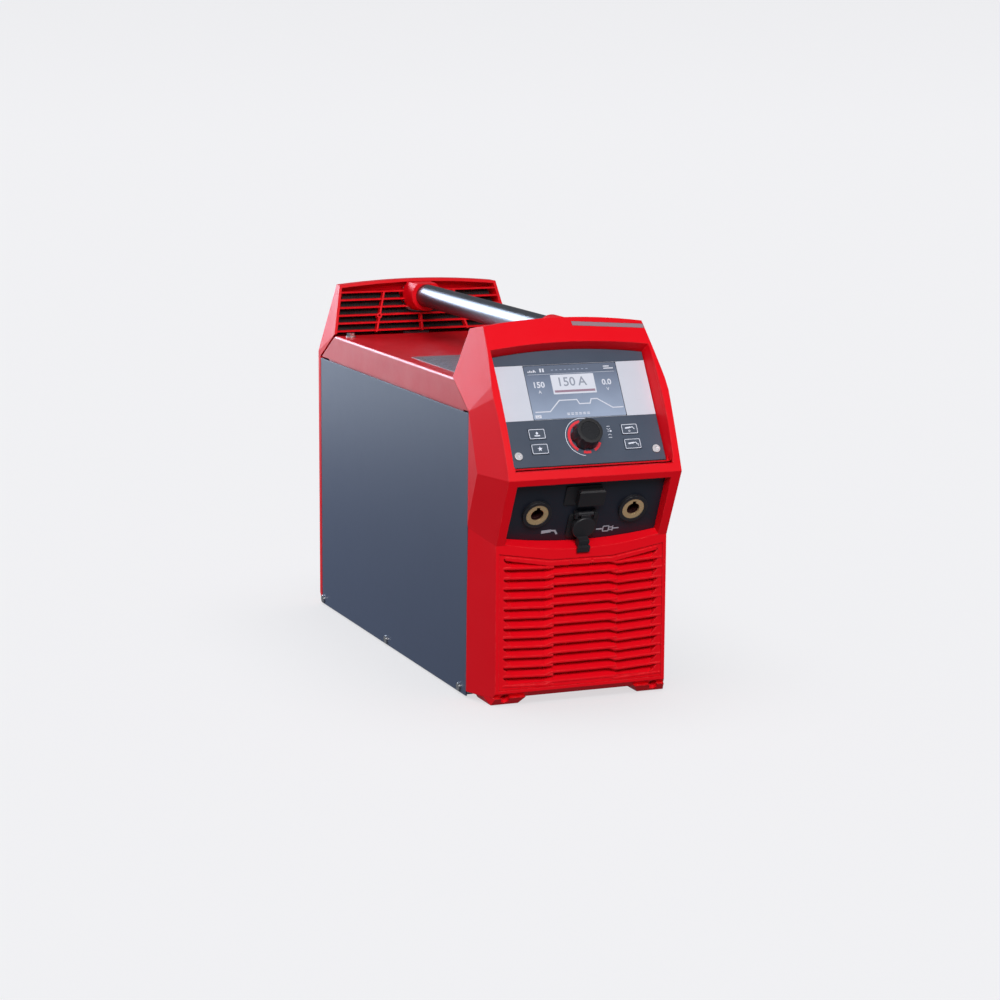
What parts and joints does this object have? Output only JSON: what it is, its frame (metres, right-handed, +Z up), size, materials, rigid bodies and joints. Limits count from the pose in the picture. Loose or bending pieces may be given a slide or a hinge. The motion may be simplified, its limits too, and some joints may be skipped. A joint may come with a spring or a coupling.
{
  "type": "tig welding machine",
  "caption": "Portable TIG welding inverter with a sloping control panel, current sockets under it, a louvred front, a full-length tube handle and steel side panels.",
  "frame": {"origin": "bottom centre of the bounding box, on the plane the feet stand on", "axes": "+X to the right seen from the front, front faces -Y, +Z up"},
  "size_m": [0.21, 0.558, 0.37],
  "materials": {
    "red_plastic": "smooth, moulded, through-coloured",
    "cover_red": "fine satin powder coat",
    "slate_paint": "satin powder coat",
    "zinc_steel": "zinc plated sheet",
    "steel_screws": "bright zinc",
    "dark_screws": "black passivated",
    "handle_metal": "dark satin anodised tube",
    "feet_rubber": "soft black rubber",
    "light_plastic": "frosted translucent grey",
    "slate_overlay": "printed film",
    "silver_overlay": "printed silver film",
    "carrier_plastic": "moulded black",
    "lcd_face": "colour display behind a clear window",
    "key_rubber": "silicone key top with white outline",
    "knob_black": "soft-touch black",
    "knob_cap": "smooth black",
    "ring_red": "translucent red segments",
    "encoder_metal": "plain",
    "board_green": "solder resist",
    "socket_blue_black": "near-black blue film",
    "insulator_black": "moulded glass-filled",
    "brass": "turned",
    "copper": "rolled copper bar",
    "connector_black": "moulded",
    "cap_black": "moulded",
    "gland_black": "moulded polyamide",
    "switch_black": "moulded",
    "valve_metal": "machined",
    "fan_black": "moulded",
    "heatsink_metal": "extruded",
    "module_black": "moulded epoxy",
    "can_metal": "sleeved can",
    "core_ferrite": "sintered ferrite",
    "winding_copper": "enamelled wire"
  },
  "bodies": {
    "housing": {"accessory_cover": "connector_black", "accessory_plate": "connector_black", "base_pan": "zinc_steel", "busbars": "copper", "cable_gland": "gland_black", "capacitors": "can_metal", "chassis_rails": "zinc_steel", "chokes": "winding_copper", "connector_frame": "connector_black", "control_board": "board_green", "control_socket": "connector_black", "dial_ring": "ring_red", "encoder_body": "encoder_metal", "fan_bulkhead": "zinc_steel", "fan_frame": "fan_black", "front_frame": "red_plastic", "front_grille": "red_plastic", "gas_connector": "brass", "gas_valve": "valve_metal", "gland_nut": "gland_black", "handle_bolts": "steel_screws", "handle_brackets": "zinc_steel", "handle_tube": "handle_metal", "heatsink": "heatsink_metal", "housing_screws": "dark_screws", "key_mat": "feet_rubber", "lcd_module": "lcd_face", "overlay_silver": "silver_overlay", "overlay_slate": "slate_overlay", "panel_carrier": "carrier_plastic", "panel_screws": "dark_screws", "power_board": "board_green", "power_modules": "module_black", "rear_frame": "red_plastic", "rear_louvre": "red_plastic", "rear_panel": "slate_paint", "rubber_feet": "feet_rubber", "side_panel_left": "slate_paint", "side_panel_right": "slate_paint", "socket_inserts": "brass", "socket_insulators": "insulator_black", "socket_nuts": "steel_screws", "socket_panel": "socket_blue_black", "status_light": "light_plastic", "switch_body": "switch_black", "top_cover": "cover_red", "top_screws": "steel_screws", "transformer_core": "core_ferrite", "transformer_winding": "winding_copper"},
    "dial_carriage": {"encoder_plunger": "encoder_metal"},
    "dial": {"dial_knob": "knob_black", "dial_cap": "knob_cap"},
    "home_key": {"key_home": "key_rubber"},
    "store_key": {"key_store": "key_rubber"},
    "trigger_key": {"key_trigger": "key_rubber"},
    "function_key": {"key_function": "key_rubber"},
    "socket_cap": {"connector_cap": "cap_black"},
    "mains_switch": {"switch_knob": "switch_black"},
    "fan": {"fan_rotor": "fan_black"},
    "gas_plunger": {"valve_plunger": "encoder_metal"}
  },
  "joints": [
    {"name": "dial_push", "type": "slide", "parent": "housing", "child": "dial_carriage", "axis": [0, 0.8532, -0.5216], "range_m": [0, 0.0006], "stiffness_N_per_m": 4000},
    {"name": "dial_turn", "type": "hinge", "parent": "dial_carriage", "child": "dial", "pos_m": [0, -0.25605, 0.26354], "axis": [0, -0.8532, 0.5216], "continuous": true},
    {"name": "home_press", "type": "slide", "parent": "housing", "child": "home_key", "axis": [0, 0.8532, -0.5216], "range_m": [0, 0.0004], "stiffness_N_per_m": 1500},
    {"name": "store_press", "type": "slide", "parent": "housing", "child": "store_key", "axis": [0, 0.8532, -0.5216], "range_m": [0, 0.0004], "stiffness_N_per_m": 1500},
    {"name": "trigger_press", "type": "slide", "parent": "housing", "child": "trigger_key", "axis": [0, 0.8532, -0.5216], "range_m": [0, 0.0004], "stiffness_N_per_m": 1500},
    {"name": "function_press", "type": "slide", "parent": "housing", "child": "function_key", "axis": [0, 0.8532, -0.5216], "range_m": [0, 0.0004], "stiffness_N_per_m": 1500},
    {"name": "socket_cap_hinge", "type": "hinge", "parent": "housing", "child": "socket_cap", "pos_m": [0, -0.2544, 0.18546], "axis": [-1, 0, 0], "range_deg": [0, 105]},
    {"name": "mains_switch_turn", "type": "hinge", "parent": "housing", "child": "mains_switch", "pos_m": [-0.05, 0.265, 0.225], "axis": [0, 1, 0], "range_deg": [0, 90]},
    {"name": "fan_spin", "type": "hinge", "parent": "housing", "child": "fan", "pos_m": [0, -0.214, 0.0795], "axis": [0, 1, 0], "continuous": true},
    {"name": "gas_plunger_lift", "type": "slide", "parent": "housing", "child": "gas_plunger", "axis": [0, 0, 1], "range_m": [0, 0.0015], "stiffness_N_per_m": 200, "springref_m": -0.004}
  ]
}
